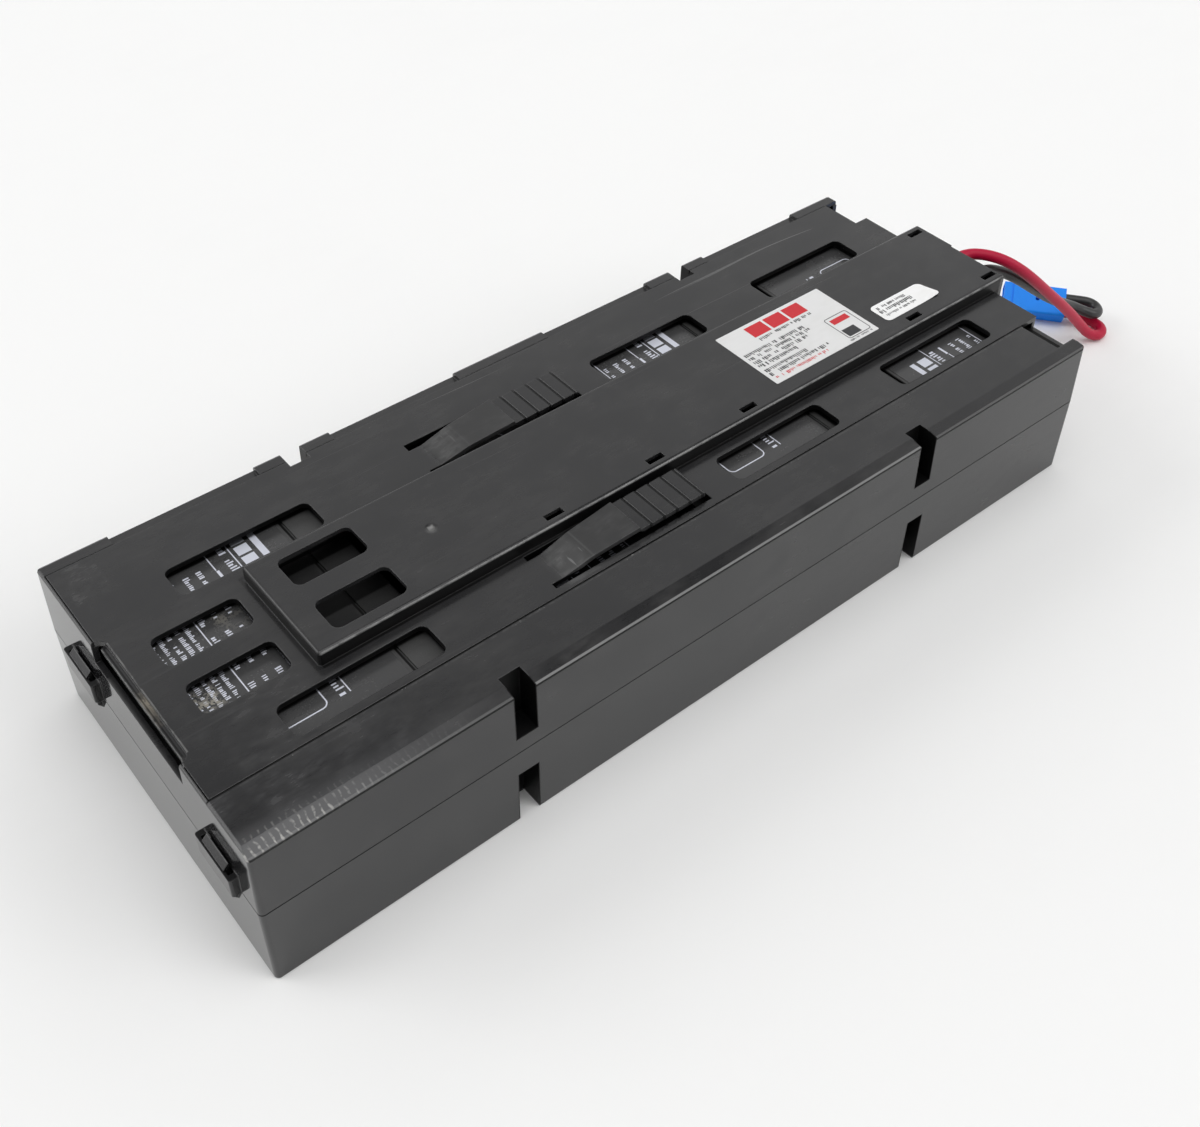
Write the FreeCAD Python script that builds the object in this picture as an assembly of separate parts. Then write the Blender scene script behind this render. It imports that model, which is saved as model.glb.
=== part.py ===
"""Battery cartridge of a rack power supply: four sealed batteries in a two-part tray with a snap-in cover.

Millimetres, +Z up. X runs along the cartridge, from the front end to the lead end, Y across it, and the
origin is under the middle of the box that holds it all but the free leads. Places along the cartridge
are given as distances behind the front face of the case, unless a name says otherwise.
"""
import FreeCAD, Part
import math
import os
from FreeCAD import Vector

# Batteries, lying on their broad sides in two pairs whose lids face each other
battery_height = 94.0
battery_width = 151.0
battery_thickness = 65.0
battery_round = 3.0
lid_height = 16.5
lid_groove = 1.2
lid_groove_depth = 0.8
label_thickness = 0.2
label_side_margin = 4.5
label_bottom_margin = 3.5
label_lid_margin = 2.0
terminal_inset = 12.5
terminal_height = 15.0
pocket_width = 14.0
pocket_height = 20.0
pocket_depth = 5.0
blade_width = 6.35
blade_thickness = 0.8
blade_reach = 6.0
sleeve_wall = 1.0
sleeve_stand_off = 0.5
barrel_diameter = 5.4
barrel_length = 9.0

# Walls of the case and the room that it leaves round the batteries
wall = 2.5
floor_thickness = 3.0
top_thickness = 2.5
draft_top = 0.8
draft_bottom = 0.2
corner_radius = 2.2
inner_radius = 0.8
edge_round = 1.2
foot_round = 0.7
side_clearance = 3.7
rear_clearance = 0.8
top_clearance = 1.2
receptacle_gap = 1.3
centre_gap = 9.8
front_pad_thickness = 7.0
pad_clearance = 0.2
pad_width = 110.0
pad_height = 46.0
side_rib = 2.0
side_rib_height = 30.0
side_rib_clearance = 0.3
side_rib_inset = 18.0

# Parting line between the trays
parting_height = 41.0
parting_bevel = 0.3
lip_thickness = 1.0
lip_height = 3.0
lip_clearance = 0.15

# Cover seat: the strip on the right, the lip with its tabs on the left, and the ledges
left_joint = 6.7
front_joint = 1.8
joint_gap = 0.4
ledge_width = 4.0
ledge_thickness = 1.6
lip_drop = 2.4
band_width = 6.5
band_drop = 1.2
first_tab = 29.6
middle_tabs = ((94.0, 129.5), (194.0, 243.0), (305.5, 342.0))
last_tab = 29.0

# Back end, measured forward from the back of the case
strip_setback = 13.0
cover_setback = 1.0
cover_side_setback = 9.0
cover_step = 54.4
post_width = 7.3
flange_thickness = 2.0
flange_height = 4.0

# Side notches, in the wiring gaps
notch_offset = 6.5
notch_width = 9.5
notch_depth = 10.5
notch_wall = 1.2
notch_above = 8.0
notch_below = 13.0

# Front snaps and grip
loop_places = (-58.0, 47.5)
loop_width = 24.4
loop_depth = 3.4
loop_height = 9.5
loop_bar = 1.2
loop_round = 1.0
loop_slack = 2.2
hook_width = 15.0
hook_thickness = 1.4
hook_clearance = 0.3
hook_nose = 1.0
hook_nose_height = 2.6
hook_foot = 6.5
hook_root = 11.0
grip_from = -35.0
grip_to = 33.5
grip_depth = 5.6
grip_height = 10.5
grip_radius = 4.5
grip_lip = 2.5
grip_lip_rise = 0.5

# Cover channel
channel_start = 60.0
channel_half_width = 28.0
channel_rise = 6.5
channel_wall = 2.0
channel_round = 1.6
spout_overhang = 5.5
spout_jog = 1.0
spout_sill = 1.2
spout_wall = 0.9
spout_opening = (-16.5, 5.5)
slot_length = 8.6
slot_width = 3.3
slot_places = (169.5, 222.0, 274.5, 379.5)
slot_inset = 4.8
gate_place = 127.5
gate_radius = 8.0
gate_depth = 0.5

# Cover windows: each from and to a distance behind the front face, and between two distances off the middle
window_radius = 3.5
side_windows = ((37.5, 100.6), (245.0, 305.2), (344.3, 405.2))
side_window_band = (33.7, 50.2)
front_windows = (17.6, 53.2)
channel_windows = (71.0, 103.2)
middle_window_band = (5.2, 21.9)

# Cover latches, each in a slot that has a gap from the channel and a width
latch_start = 149.5
latch_root = 155.5
latch_crease = 169.5
latch_tip = 192.0
latch_end = 226.5
latch_slot_end = 229.0
right_latch_slot = (1.4, 21.0)
left_latch_slot = (1.9, 24.0)
latch_side_wall = 3.7
latch_root_width = 15.3
latch_tip_width = 18.4
latch_thickness = 2.2
crease_rise = 3.3
tip_rise = 5.2
pad_rise = 3.8
tip_step = 0.6
rib_first = 197.6
rib_pitch = 6.8
rib_count = 5
rib_lift = 0.3
rib_depth = 0.8
rib_length = 1.2
tooth_first = 183.0
tooth_pitch = 4.4
tooth_count = 9
tooth_length = 2.0
tooth_width = 1.1
tooth_drop = 0.8

# Leads, in lanes along the channel, and the connector, whose wire end is placed from the channel's end
lead_diameter = 5.6
jumper_diameter = 5.0
lead_clearance = 0.3
floor_clearance = 0.1
red_lane = 0.0
black_lane = -11.0
jumper_lane = 14.5
connector_angle = -51.0
connector_tilt = 30.0
connector_wire_end = (98.5, -6.6)
connector_length = 33.0
connector_width = 17.0
connector_height = 9.5
connector_round = 1.2
connector_rim = 4.0
connector_groove_width = 1.0
connector_groove_depth = 0.4
connector_hole = 2.2
connector_hole_place = 15.0
pole_pitch = 8.2
mouth_width = 6.6
mouth_height = 6.0
mouth_depth = 15.0
lead_end_depth = 1.5
lead_end_gap = 1.3
lead_straight = 8.0
entry_clearance = 0.6
contact_barrel = 4.6
contact_clearance = 0.2
contact_width = 5.2
contact_thickness = 2.4
contact_length = 9.0

# Labels on the channel: from and to a distance behind the front face, and between two Y
label_film = 0.15
large_label_along = (295.2, 359.8)
large_label_across = (-19.8, 20.2)
large_label_radius = 0.6
small_label_along = (367.3, 403.2)
small_label_across = (-18.8, -6.2)
small_label_radius = 2.5

# Sizes that follow from the ones above
sleeve_length = blade_reach + sleeve_wall
sleeve_width = blade_width + 2 * sleeve_wall
sleeve_thickness = blade_thickness + 2 * sleeve_wall
wiring_gap = 2 * (sleeve_stand_off + sleeve_length) + receptacle_gap
pair_length = 2 * battery_height + wiring_gap
front_space = wall + draft_top + pad_clearance + front_pad_thickness
rear_space = wall + draft_top + rear_clearance
case_length = front_space + 2 * pair_length + centre_gap + rear_space
half_width = battery_width / 2 + side_clearance + draft_top + wall
battery_top = floor_thickness + battery_thickness
cover_under = battery_top + label_thickness + top_clearance + ledge_thickness
cover_height = cover_under + top_thickness
end_wall_height = cover_under - flange_height
channel_top = cover_height + channel_rise
channel_end = case_length + spout_overhang
spout_face = channel_end - spout_jog
end_slot = spout_face - spout_wall - slot_length / 2
front_x = (loop_depth - channel_end) / 2
left_joint_y = half_width - left_joint
cover_end = case_length - cover_setback
cover_side_end = case_length - cover_side_setback
latch_slots = {
    side: (channel_half_width + gap, channel_half_width + gap + width)
    for side, (gap, width) in ((-1, right_latch_slot), (1, left_latch_slot))
}
right_joint_y = -latch_slots[-1][1] - latch_side_wall
terminal_place = battery_width / 2 - terminal_inset
terminal_z = floor_thickness + battery_thickness / 2 + terminal_height
lead_height = channel_top - channel_wall - lead_clearance - lead_diameter / 2
low_lead_height = battery_top + label_thickness + lead_clearance + lead_diameter / 2
lead_floor = lead_diameter / 2 + floor_clearance
contact_start = lead_end_depth + lead_end_gap
entry_depth = contact_start + contact_clearance
OVER = 5.0


def point(along, y, z):
    """A point at a distance behind the front face."""
    return Vector(front_x + along, y, z)


def block(along, y, z):
    """A block between two distances behind the front face, two Y and two Z."""
    size = [max(span) - min(span) for span in (along, y, z)]
    return Part.makeBox(*size, point(min(along), min(y), min(z)))


def rounded_wire(along, y, z, radius):
    """A flat rectangle at height z with round corners, as lines and quarter arcs."""
    (x0, x1), (y0, y1) = along, y
    diagonal = radius * (1 - math.sqrt(0.5))
    corners = ((x1, y0, -1, 1), (x1, y1, -1, -1), (x0, y1, 1, -1), (x0, y0, 1, 1))
    edges = []
    arcs = []
    for number, (x, side, inward_x, inward_y) in enumerate(corners):
        on_y_line = point(x + inward_x * radius, side, z)
        on_x_line = point(x, side + inward_y * radius, z)
        middle = point(x + inward_x * diagonal, side + inward_y * diagonal, z)
        ends = (on_y_line, on_x_line) if number % 2 == 0 else (on_x_line, on_y_line)
        arcs.append((ends[0], middle, ends[1]))
    for number, arc in enumerate(arcs):
        following = arcs[(number + 1) % len(arcs)]
        edges.append(Part.Arc(*arc).toShape())
        edges.append(Part.LineSegment(arc[2], following[0]).toShape())
    return Part.Wire(edges)


def rounded_prism(along, y, z, radius):
    """An upright block with round vertical edges."""
    face = Part.Face(rounded_wire(along, y, z[0], radius))
    return face.extrude(Vector(0, 0, z[1] - z[0]))


def case_stack(sections):
    """The case outline lofted through sections, each an inset from the full outline and a height."""
    wires = []
    for inset, z in sections:
        along = (inset, case_length - inset)
        across = (-half_width + inset, half_width - inset)
        wires.append(rounded_wire(along, across, z, max(corner_radius - inset, inner_radius)))
    return Part.makeLoft(wires, True, True)


def side_profile(points, y):
    """A solid of one outline in the X-Z plane, carried between two Y."""
    corners = [point(along, y[0], z) for along, z in points]
    face = Part.Face(Part.makePolygon(corners + corners[:1]))
    return face.extrude(Vector(0, y[1] - y[0], 0))


def plan_prism(points, z):
    """A solid of one outline in plan, carried between two Z."""
    corners = [point(along, y, z[0]) for along, y in points]
    face = Part.Face(Part.makePolygon(corners + corners[:1]))
    return face.extrude(Vector(0, 0, z[1] - z[0]))


def notch(place, side, z, grow=0.0):
    """The space of one side notch, or its lining where it grows by the notch's wall."""
    along = (place - notch_width / 2 - grow, place + notch_width / 2 + grow)
    across = (side * (half_width - notch_depth - grow), side * (half_width + OVER))
    return block(along, across, z)


def all_notches(z, grow=0.0):
    """The notches of both sides between two heights, one pair at each wiring gap."""
    lid_faces = [bottom + battery_height for bottom, facing in battery_row() if facing > 0]
    return [notch(face + notch_offset, side, z, grow) for face in lid_faces for side in (-1, 1)]


def lower_tray():
    """Open tray with side ribs, lined notches, a tongue round its rim and two front hooks."""
    outside = case_stack((
        (draft_bottom + foot_round, 0),
        (draft_bottom + 0.3 * foot_round, 0.3 * foot_round),
        (draft_bottom, foot_round),
        (0, parting_height - parting_bevel),
        (parting_bevel, parting_height),
    ))
    inside = case_stack(((wall + draft_bottom, floor_thickness), (wall, parting_height + OVER)))
    tray = outside.cut(inside)
    rim_inset = wall - lip_thickness
    rim = case_stack(((rim_inset, parting_height - wall), (rim_inset, parting_height + lip_height)))
    tray = tray.fuse(rim.cut(inside))
    roof = parting_height - notch_below
    lining = all_notches((0, roof + notch_wall), notch_wall)
    tray = tray.fuse([piece.common(outside) for piece in lining] + side_ribs(outside))
    tray = tray.cut(all_notches((-OVER, roof)))
    return tray.fuse([front_hook(place) for place in loop_places]).removeSplitter()


def side_ribs(outside):
    """Two ribs at each end of each battery, standing on the floor and reaching in from the side walls."""
    ribs = []
    reach = battery_width / 2 + side_rib_clearance
    for bottom, facing in battery_row():
        for inset in (side_rib_inset, battery_height - side_rib_inset):
            middle = bottom + facing * inset
            for side in (-1, 1):
                along = (middle - side_rib / 2, middle + side_rib / 2)
                rib = block(along, (side * reach, side * half_width), (floor_thickness, side_rib_height))
                ribs.append(rib.common(outside))
    return ribs


def front_hook(place):
    """A tongue that rises from the lower tray through the loop, with a nose over the loop's bar."""
    back = -loop_depth + loop_bar + hook_clearance + hook_thickness
    face = back - hook_thickness
    bar_top = parting_height + loop_height + hook_clearance
    outline = (
        (wall / 2, parting_height - hook_root),
        (face, parting_height - hook_foot),
        (face, bar_top),
        (face - hook_nose, bar_top),
        (face - 0.7 * hook_nose, bar_top + 0.2 * hook_nose_height),
        (back, bar_top + hook_nose_height),
        (back, parting_height - parting_bevel),
        (wall / 2, parting_height - parting_bevel),
    )
    return side_profile(outline, (place - hook_width / 2, place + hook_width / 2))


def snap_loop(place):
    """The eye on the upper tray's front face that the lower tray's hook passes through."""
    across = (place - loop_width / 2, place + loop_width / 2)
    height = (parting_height, parting_height + loop_height)
    outer = rounded_prism((-loop_depth, wall), across, height, loop_round)
    slot_half = hook_width / 2 + loop_slack
    slot_across = (place - slot_half, place + slot_half)
    return outer.cut(block((-loop_depth + loop_bar, 0), slot_across, (height[0] - OVER, height[1] + OVER)))


def grip_space(along, z):
    """The finger grip in the middle of the front edge, with round corners in plan."""
    return rounded_prism(along, (grip_from, grip_to), z, grip_radius)


def upper_tray():
    """Frame that closes the tray: walls, right strip, left lip with its tabs, ledges and snap loops."""
    outside = case_stack((
        (parting_bevel, parting_height),
        (0, parting_height + parting_bevel),
        (draft_top, cover_height - edge_round),
        (draft_top + 0.3 * edge_round, cover_height - 0.3 * edge_round),
        (draft_top + edge_round, cover_height),
    ))
    inside = case_stack(((wall, parting_height - OVER), (wall + draft_top, cover_under)))
    rebate_inset = wall - lip_thickness - lip_clearance
    rebate_top = parting_height + lip_height + lip_clearance
    rebate = case_stack(((rebate_inset, parting_height - OVER), (rebate_inset, rebate_top)))
    loops = [snap_loop(place) for place in loop_places]
    tray = outside.fuse(loops).cut([inside, rebate])
    notch_floor = parting_height + notch_above
    lining = all_notches((notch_floor - notch_wall, cover_under), notch_wall)
    ledges = cover_ledges()
    tray = tray.fuse([piece.common(outside) for piece in lining + ledges])
    tray = tray.cut(all_notches((notch_floor, cover_height + OVER)) + upper_openings())
    return tray.removeSplitter()


def cover_ledges():
    """Ledges under the cover's edges, joined to the strip, the lip and the front wall."""
    z = (cover_under - ledge_thickness, cover_under)
    along = (wall / 2, cover_side_end)
    right = block(along, (right_joint_y - ledge_width, right_joint_y + ledge_width), z)
    left = block(along, (left_joint_y - ledge_width, half_width), z)
    front = block((wall / 2, front_joint + ledge_width), (right_joint_y, left_joint_y), z)
    return [right, left, front]


def upper_openings():
    """What is cut from the upper tray's top: seat, back end, grip, sloped band and the lip's low runs."""
    above = (cover_under, cover_height + OVER)
    seat = block((front_joint, case_length + OVER), (right_joint_y, left_joint_y), above)
    inner_post = half_width - post_width
    strip_end = case_length - strip_setback
    over_end_wall = (end_wall_height, cover_height + OVER)
    back = block((strip_end, case_length + OVER), (-inner_post, inner_post), over_end_wall)
    grip = grip_space((-OVER, grip_depth + OVER), (cover_height - grip_height, cover_height + OVER))
    band_start = -half_width + band_width
    slope = band_drop / (band_width - draft_top)
    band_end = -half_width - OVER
    low_edge = cover_height - slope * (band_start - band_end)
    band_outline = ((band_start, cover_height), (band_end, low_edge), (band_end, cover_height + OVER))
    corners = [point(-OVER, y, z) for y, z in band_outline]
    band = Part.Face(Part.makePolygon(corners + corners[:1])).extrude(Vector(case_length + 2 * OVER, 0, 0))
    tabs = ((0, first_tab),) + middle_tabs + ((case_length - last_tab, case_length),)
    low = [
        block((end, start), (left_joint_y, half_width + OVER), (cover_height - lip_drop, cover_height + OVER))
        for (_, end), (start, _) in zip(tabs, tabs[1:])
    ]
    return [seat, back, grip, band] + low


def top_cover():
    """Panel with a raised channel that ends in a spout, windows, two spring latches and a back flange."""
    front = front_joint + joint_gap
    right = right_joint_y + joint_gap
    left = left_joint_y - joint_gap
    outline = (
        (front, right), (cover_end, right), (cover_end, cover_step),
        (cover_side_end, cover_step), (cover_side_end, left), (front, left),
    )
    cover = plan_prism(outline, (cover_under, cover_height))
    flange_along = (cover_end - flange_thickness, cover_end)
    flange = block(flange_along, (right, cover_step), (end_wall_height, cover_under))
    cover = cover.fuse([flange, wiring_channel()] + spout_skirts())
    inner = channel_half_width - channel_wall
    along = (channel_start + channel_wall, channel_end + OVER)
    hollow = block(along, (-inner, inner), (end_wall_height - OVER, channel_top - channel_wall))
    cover = cover.cut([hollow] + cover_windows() + channel_slots() + [gate_dimple()])
    cover = cover.fuse(spout_closure(inner))
    cover = cover.cut(all_notches((cover_under - OVER, channel_top)))
    cover = cover.cut(grip_space((-OVER, grip_depth), (cover_under - OVER, channel_top)))
    lip = rounded_prism(
        (grip_depth - grip_lip, grip_depth + grip_lip),
        (grip_from + grip_lip, grip_to - grip_lip),
        (cover_under - ledge_thickness, cover_under + grip_lip_rise),
        loop_round,
    )
    cover = cover.fuse(lip)
    for side in (-1, 1):
        cover = cover.cut(latch_space(side)).fuse([latch(side)] + latch_teeth(side))
    return cover.removeSplitter()


def wiring_channel():
    """The raised channel as a solid block with its upper edges and front corners rounded."""
    z = (cover_under, channel_top)
    body = block((channel_start, channel_end), (-channel_half_width, channel_half_width), z)
    soft = []
    for edge in body.Edges:
        box = edge.BoundBox
        on_top = box.ZMin > channel_top - 0.01
        at_back = box.XMin > front_x + channel_end - 0.01
        at_front = box.XMax < front_x + channel_start + 0.01
        upright = box.ZLength > channel_rise
        if (on_top and not at_back) or (upright and at_front):
            soft.append(edge)
    return body.makeFillet(channel_round, soft)


def spout_skirts():
    """The channel's side walls carried down past the cover's back edge."""
    along = (cover_end - flange_thickness, channel_end)
    inner = channel_half_width - channel_wall
    z = (end_wall_height, cover_under)
    return [block(along, (side * inner, side * channel_half_width), z) for side in (-1, 1)]


def spout_closure(inner):
    """A sill under the leads and thin end walls beside their opening, between the channel's side walls."""
    sill_height = (end_wall_height, end_wall_height + spout_sill)
    sill = block((cover_end - flange_thickness, spout_face), (-inner, inner), sill_height)
    face = (spout_face - spout_wall, spout_face)
    height = (end_wall_height, channel_top - channel_wall)
    right, left = spout_opening
    return [sill, block(face, (-inner, right), height), block(face, (left, inner), height)]


def cover_windows():
    """Round-cornered windows through the panel beside the channel, in front of it and through its top."""
    deep = (cover_under - OVER, channel_top + OVER)
    spans = [(along, side_window_band) for along in side_windows]
    spans += [(front_windows, middle_window_band), (channel_windows, middle_window_band)]
    windows = []
    for along, band in spans:
        for side in (-1, 1):
            across = sorted((side * band[0], side * band[1]))
            windows.append(rounded_prism(along, across, deep, window_radius))
    return windows


def channel_slots():
    """Small slots along the right edge of the channel's top, two at its end, and the step in that end."""
    z = (channel_top - channel_wall - OVER, channel_top + OVER)
    line = channel_half_width - slot_inset
    places = [(along, -line) for along in slot_places] + [(end_slot, -line), (end_slot, line)]
    slots = [
        block((along - slot_length / 2, along + slot_length / 2), (y - slot_width / 2, y + slot_width / 2), z)
        for along, y in places
    ]
    jog_across = (-channel_half_width + channel_wall, slot_inset)
    jog = block((spout_face, channel_end + OVER), jog_across, (channel_top - OVER, z[1]))
    return slots + [jog]


def gate_dimple():
    """A shallow round dimple in the channel's top, where the mould was fed."""
    return Part.makeSphere(gate_radius, point(gate_place, 0, channel_top + gate_radius - gate_depth))


def latch_space(side):
    """The opening that a latch stands in."""
    inner, outer = latch_slots[side]
    across = (side * inner, side * outer)
    return block((latch_start, latch_slot_end), across, (cover_under - OVER, cover_height + OVER))


def latch(side):
    """A tongue that ramps up from the panel to a tip and goes on as a ribbed pad, narrower at its root."""
    middle = side * sum(latch_slots[side]) / 2
    pad = cover_height + pad_rise
    top = [
        (latch_start, cover_height), (latch_root, cover_height), (latch_crease, cover_height + crease_rise),
        (latch_tip, cover_height + tip_rise), (latch_tip + tip_step, pad),
    ]
    for number in range(rib_count):
        rib = rib_first + number * rib_pitch
        top += [(rib, pad + rib_lift), (rib + 0.3 * rib_length, pad - rib_depth), (rib + rib_length, pad)]
    top.append((latch_end, pad))
    thick = latch_thickness
    under = [
        (latch_end, pad - thick), (latch_tip + thick, pad - thick),
        (latch_tip, cover_height + tip_rise - thick),
        (latch_crease, cover_height + crease_rise - thick), (latch_root + thick / 4, cover_under),
        (latch_start, cover_under),
    ]
    half_tip = latch_tip_width / 2
    half_root = latch_root_width / 2
    tongue = side_profile(top + under, (middle - half_tip, middle + half_tip))
    deep = (cover_under - OVER, channel_top + OVER)
    for edge in (-1, 1):
        taper = (
            (latch_start - OVER, middle + edge * half_root), (latch_root, middle + edge * half_root),
            (latch_tip, middle + edge * half_tip), (latch_tip, middle + edge * (half_tip + OVER)),
            (latch_start - OVER, middle + edge * (half_tip + OVER)),
        )
        tongue = tongue.cut(plan_prism(taper, deep))
    return tongue


def latch_teeth(side):
    """A row of small teeth on the outer edge of the latch's opening."""
    edge = side * latch_slots[side][1]
    teeth = []
    for number in range(tooth_count):
        start = tooth_first + number * tooth_pitch
        across = (edge - side * tooth_width, edge + side * tooth_width)
        teeth.append(block((start, start + tooth_length), across, (cover_under, cover_height - tooth_drop)))
    return teeth


def battery_row():
    """Where each battery's bottom is, and which way its lid faces: two pairs, lid to lid."""
    row = []
    for first in (front_space, front_space + pair_length + centre_gap):
        row += [(first, 1), (first + pair_length, -1)]
    return row


def battery_span(bottom, facing, start, end, across, z):
    """A block between two heights of a battery, measured from its bottom towards its lid."""
    return block((bottom + facing * start, bottom + facing * end), across, z)


def long_edges_rounded(body, radius):
    """The same block with the edges that run along X rounded."""
    edges = [edge for edge in body.Edges if edge.BoundBox.XLength > edge.Length - 0.01]
    return body.makeFillet(radius, edges)


def battery_case(bottom, facing):
    """The container of one battery."""
    half = battery_width / 2
    joint = battery_height - lid_height
    body = battery_span(bottom, facing, 0, joint, (-half, half), (floor_thickness, battery_top))
    return long_edges_rounded(body, battery_round)


def battery_lid(bottom, facing):
    """The lid of one battery, with a groove at its joint and a pocket round each terminal."""
    half = battery_width / 2
    joint = battery_height - lid_height
    cap_z = (floor_thickness, battery_top)
    cap = battery_span(bottom, facing, joint + lid_groove, battery_height, (-half, half), cap_z)
    neck_half = half - lid_groove_depth
    neck_z = (floor_thickness + lid_groove_depth, battery_top - lid_groove_depth)
    neck = battery_span(bottom, facing, joint, joint + lid_groove, (-neck_half, neck_half), neck_z)
    neck = long_edges_rounded(neck, battery_round - lid_groove_depth)
    lid = long_edges_rounded(cap, battery_round).fuse(neck)
    pocket = (battery_height - pocket_depth, battery_height + OVER)
    for side in (-1, 1):
        across = (side * terminal_place - pocket_width / 2, side * terminal_place + pocket_width / 2)
        z = (terminal_z - pocket_height / 2, terminal_z + pocket_height / 2)
        lid = lid.cut(battery_span(bottom, facing, *pocket, across, z))
    return lid.removeSplitter()


def battery_label(bottom, facing):
    """The printed film on the upper broad side of one battery."""
    end = battery_height - lid_height - label_lid_margin
    half = battery_width / 2 - label_side_margin
    z = (battery_top, battery_top + label_thickness)
    return battery_span(bottom, facing, label_bottom_margin, end, (-half, half), z)


def blade(bottom, facing, side, start):
    """One terminal blade, from a height on the battery to its tip."""
    across = (side * terminal_place - blade_thickness / 2, side * terminal_place + blade_thickness / 2)
    z = (terminal_z - blade_width / 2, terminal_z + blade_width / 2)
    return battery_span(bottom, facing, start, battery_height + blade_reach, across, z)


def receptacle(bottom, facing, side, hangs_down):
    """A push-on sleeve over one blade, with a crimp barrel that points to the middle or down."""
    start = battery_height + sleeve_stand_off
    across = (side * terminal_place - sleeve_thickness / 2, side * terminal_place + sleeve_thickness / 2)
    z = (terminal_z - sleeve_width / 2, terminal_z + sleeve_width / 2)
    sleeve = battery_span(bottom, facing, start, start + sleeve_length, across, z)
    barrel_along = barrel_line(bottom, facing)
    base = point(barrel_along, side * terminal_place, terminal_z)
    if hangs_down:
        direction = Vector(0, 0, -1)
        length = sleeve_width / 2 + barrel_length
    else:
        direction = Vector(0, -side, 0)
        length = sleeve_thickness / 2 + barrel_length
    barrel = Part.makeCylinder(barrel_diameter / 2, length, base, direction)
    return sleeve.fuse(barrel).cut(blade(bottom, facing, side, battery_height)).removeSplitter()


def barrel_line(bottom, facing):
    """The distance behind the front face at which a battery's crimp barrels lie."""
    return bottom + facing * (battery_height + sleeve_stand_off + sleeve_length / 2)


def tube(name, route, diameter):
    """A lead along straight runs joined by tangent arcs, each as large as its two runs allow."""
    points = [point(*place) for place in route]
    edges = []
    radii = []
    cursor = points[0]
    for before, corner, after in zip(points, points[1:], points[2:]):
        run_in = corner - before
        run_out = after - corner
        into = Vector(run_in).normalize()
        out = Vector(run_out).normalize()
        half_turn = into.getAngle(out) / 2
        reach = 0.45 * min(run_in.Length, run_out.Length)
        radius = reach / math.tan(half_turn)
        bisector = (out - into).normalize()
        middle = corner + bisector * (radius / math.cos(half_turn) - radius)
        start, end = corner - into * reach, corner + out * reach
        edges.append(Part.LineSegment(cursor, start).toShape())
        edges.append(Part.Arc(start, middle, end).toShape())
        radii.append(radius)
        cursor = end
    edges.append(Part.LineSegment(cursor, points[-1]).toShape())
    path = Part.Wire(edges)
    section = Part.Wire(Part.makeCircle(diameter / 2, points[0], points[1] - points[0]))
    solid = path.makePipeShell([section], True, False)
    ideal = path.Length * math.pi * diameter ** 2 / 4
    print(f"{name}: length {path.Length:.1f}, volume ratio {solid.Volume / ideal:.4f}")
    print("  radii " + " ".join(f"{radius:.0f}" for radius in radii))
    return solid


def inner_routes():
    """The leads inside the case, from crimp barrel to crimp barrel or to the channel's end."""
    first, second, third, fourth = (barrel_line(*battery) for battery in battery_row())
    barrel_end = terminal_place - sleeve_thickness / 2 - barrel_length
    drop_end = terminal_z - sleeve_width / 2 - barrel_length
    z = terminal_z
    top = lead_height
    low = low_lead_height
    step = lead_diameter

    def rise(share):
        """A height between the terminals and the leads' lane in the channel."""
        return terminal_z + share * (lead_height - terminal_z)

    def fall(share):
        """A height between the terminals and the tray's floor."""
        return terminal_z - share * (terminal_z - floor_thickness)

    def off(share):
        """A place between the cartridge's middle and the end of a crimp barrel."""
        return share * barrel_end

    routes = {
        "red_lead_inner": (
            (first, barrel_end, z), (first, off(0.61), z), (first, off(0.34), rise(0.27)),
            (first + 0.2 * step, off(0.15), rise(0.67)),
            (first + 1.4 * step, red_lane + step / 2, rise(0.96)),
            (first + 4 * step, red_lane, top), (channel_end, red_lane, top),
        ),
        "black_lead_inner": (
            (fourth, barrel_end, z), (fourth, off(0.68), z), (fourth, off(0.3), rise(0.14)),
            (fourth, off(-0.04), rise(0.43)), (fourth + step / 2, black_lane + step / 3, rise(0.84)),
            (fourth + 2.5 * step, black_lane, top), (channel_end - 10 * step, black_lane, top),
            (channel_end - 4 * step, black_lane, low), (channel_end, black_lane, low),
        ),
        "middle_jumper": (
            (second, barrel_end, z), (second, off(0.72), z), (second, off(0.46), rise(0.27)),
            (second + 0.4 * step, off(0.32), rise(0.71)), (second + 1.8 * step, jumper_lane, top),
            (third - 1.8 * step, jumper_lane, top), (third - 0.4 * step, off(0.32), rise(0.71)),
            (third, off(0.46), rise(0.27)), (third, off(0.72), z), (third, barrel_end, z),
        ),
    }
    for name, start, finish in (("front_jumper", first, second), ("rear_jumper", third, fourth)):
        routes[name] = (
            (start, -barrel_end, z), (start, off(-0.72), z), (start + 0.3 * step, off(-0.57), fall(0.17)),
            (start + 0.7 * step, off(-0.61), fall(0.42)), (start + 1.15 * step, off(-0.8), fall(0.61)),
            (finish, off(-1.03), fall(0.69)), (finish, -terminal_place, fall(0.59)),
            (finish, -terminal_place, drop_end),
        )
    return routes


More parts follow.
